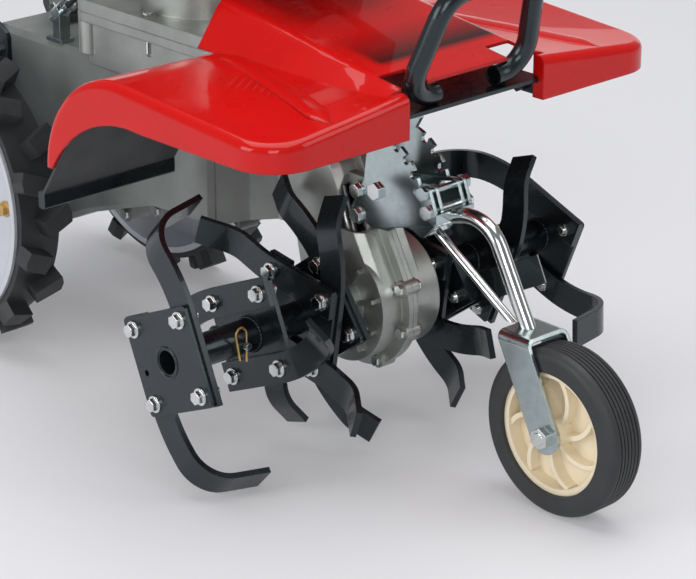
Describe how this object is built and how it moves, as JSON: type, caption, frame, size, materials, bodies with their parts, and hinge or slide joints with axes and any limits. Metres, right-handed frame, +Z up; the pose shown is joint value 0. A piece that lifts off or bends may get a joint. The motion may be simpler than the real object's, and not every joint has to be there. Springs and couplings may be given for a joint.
{
  "type": "garden tiller",
  "caption": "Petrol garden tiller with front tine rotor, rear drive wheels, swing-down nose transport wheel, red cover with fenders and a height-set handlebar.",
  "frame": {"origin": "on the floor, under the middle of the machine box", "axes": "+X forward towards the nose wheel, +Y to the left of the machine, +Z up"},
  "size_m": [1.384, 0.534, 0.918],
  "materials": {
    "black_steel": "gloss black paint",
    "bare_steel": "ground steel",
    "zinc_steel": "bright zinc plate",
    "yellow_zinc": "yellow zinc plate",
    "chromed_tube": "chrome plate",
    "painted_casting": "grey paint on a casting",
    "bare_casting": "bare die casting",
    "silver_disc": "silver paint on pressed steel",
    "tyre_rubber": "matt rubber",
    "grip_rubber": "matt rubber",
    "red_gloss": "gloss red moulding",
    "dark_plastic": "satin black moulding",
    "black_screw": "black oxide",
    "muffler_steel": "heat-proof black paint",
    "plug_body": "plated shell",
    "cream_plastic": "cream moulding"
  },
  "bodies": {
    "chassis": {"air_cleaner": "dark_plastic", "bearings": "bare_steel", "cable_adjuster": "zinc_steel", "carburettor": "bare_casting", "case_bolts": "zinc_steel", "clutch_cable": "dark_plastic", "cover_screws": "black_screw", "crankcase": "bare_casting", "engine_block": "bare_casting", "fan_cover": "red_gloss", "flap_strips": "black_steel", "front_cover": "red_gloss", "front_frame": "black_steel", "fuel_tank": "dark_plastic", "guard_bar": "black_steel", "handle_base": "black_steel", "handle_bolts": "dark_plastic", "muffler": "muffler_steel", "nose_plates": "zinc_steel", "oil_plugs": "yellow_zinc", "plate_bolts": "zinc_steel", "rear_flaps": "dark_plastic", "recoil_cover": "dark_plastic", "spark_plug": "plug_body", "tine_case_left": "bare_casting", "tine_case_right": "bare_casting", "transmission_case_left": "painted_casting", "transmission_case_right": "painted_casting"},
    "rotor": {"tine_shaft": "bare_steel", "outer_hub_right": "black_steel", "outer_hub_left": "black_steel", "centre_hub_right": "black_steel", "centre_hub_left": "black_steel", "outer_tines": "black_steel", "centre_tines": "black_steel", "tine_bolts": "zinc_steel", "tine_nuts": "zinc_steel", "hub_pins": "zinc_steel", "spring_clips": "yellow_zinc", "tine_gear": "bare_steel"},
    "pinion": {"drive_pinion": "bare_steel"},
    "wheels": {"wheel_axle": "bare_steel", "wheel_discs": "silver_disc", "drive_tyres": "tyre_rubber", "wheel_bolts": "yellow_zinc"},
    "crank": {"crankshaft": "bare_steel"},
    "starter_grip": {"recoil_grip": "dark_plastic"},
    "tank_cap": {"fuel_cap": "dark_plastic"},
    "arm": {"nose_arm": "zinc_steel", "nose_brace": "chromed_tube", "nose_arm_bolts": "zinc_steel", "nose_fork": "zinc_steel"},
    "lock": {"nose_lock_pin": "zinc_steel"},
    "nose_wheel": {"nose_hub": "cream_plastic", "nose_tyre": "tyre_rubber"},
    "handle": {"handle_tubes": "black_steel", "handle_grips": "grip_rubber"},
    "clutch": {"clutch_lever": "bare_steel"},
    "throttle": {"throttle_lever": "dark_plastic"},
    "shift": {"shift_lever": "bare_steel"}
  },
  "joints": [
    {"name": "rotor_spin", "type": "hinge", "parent": "chassis", "child": "rotor", "pos_m": [0.332, 0, 0.142], "axis": [0, 1, 0], "continuous": true},
    {"name": "pinion_spin", "type": "hinge", "parent": "chassis", "child": "pinion", "pos_m": [0.332, 0, 0.142], "axis": [-0.3511, 0, 0.9363], "continuous": true},
    {"name": "axle_spin", "type": "hinge", "parent": "chassis", "child": "wheels", "pos_m": [-0.158, 0, 0.171], "axis": [0, 1, 0], "continuous": true},
    {"name": "crank_spin", "type": "hinge", "parent": "chassis", "child": "crank", "pos_m": [0.097, 0, 0.4], "axis": [0, 0, 1], "continuous": true},
    {"name": "starter_pull", "type": "slide", "parent": "chassis", "child": "starter_grip", "axis": [-1, 0, 0], "range_m": [0, 0.12], "stiffness_N_per_m": 60, "springref_m": -0.03},
    {"name": "cap_turn", "type": "hinge", "parent": "chassis", "child": "tank_cap", "pos_m": [-0.069, 0.04, 0.6], "axis": [0, 0, 1], "range_deg": [0, 90]},
    {"name": "arm_swing", "type": "hinge", "parent": "chassis", "child": "arm", "pos_m": [0.371, 0, 0.268], "axis": [0, -1, 0], "range_deg": [0, 48.6]},
    {"name": "lock_slide", "type": "slide", "parent": "arm", "child": "lock", "axis": [0.9736, 0, 0.2284], "range_m": [-0.015, 0]},
    {"name": "nose_wheel_spin", "type": "hinge", "parent": "arm", "child": "nose_wheel", "pos_m": [0.608, 0, 0.084], "axis": [0, 1, 0], "continuous": true},
    {"name": "handle_height", "type": "hinge", "parent": "chassis", "child": "handle", "pos_m": [-0.258, 0, 0.322], "axis": [0, 1, 0], "range_deg": [-8, 14], "deforming": ["clutch_cable"]},
    {"name": "clutch_squeeze", "type": "hinge", "parent": "handle", "child": "clutch", "pos_m": [-0.53532, 0, 0.8168], "axis": [0, 1, 0], "range_deg": [0, 14], "stiffness_Nm_per_rad": 6, "springref_deg": -11.46},
    {"name": "throttle_turn", "type": "hinge", "parent": "handle", "child": "throttle", "pos_m": [-0.50958, -0.2135, 0.7492], "axis": [0, 1, 0], "range_deg": [-25, 30]},
    {"name": "gear_shift", "type": "hinge", "parent": "chassis", "child": "shift", "pos_m": [-0.148, 0, 0.346], "axis": [0, 1, 0], "range_deg": [-10, 10]}
  ],
  "couplings": [
    {"joint": "pinion_spin", "follows": "rotor_spin", "ratio": -2}
  ]
}
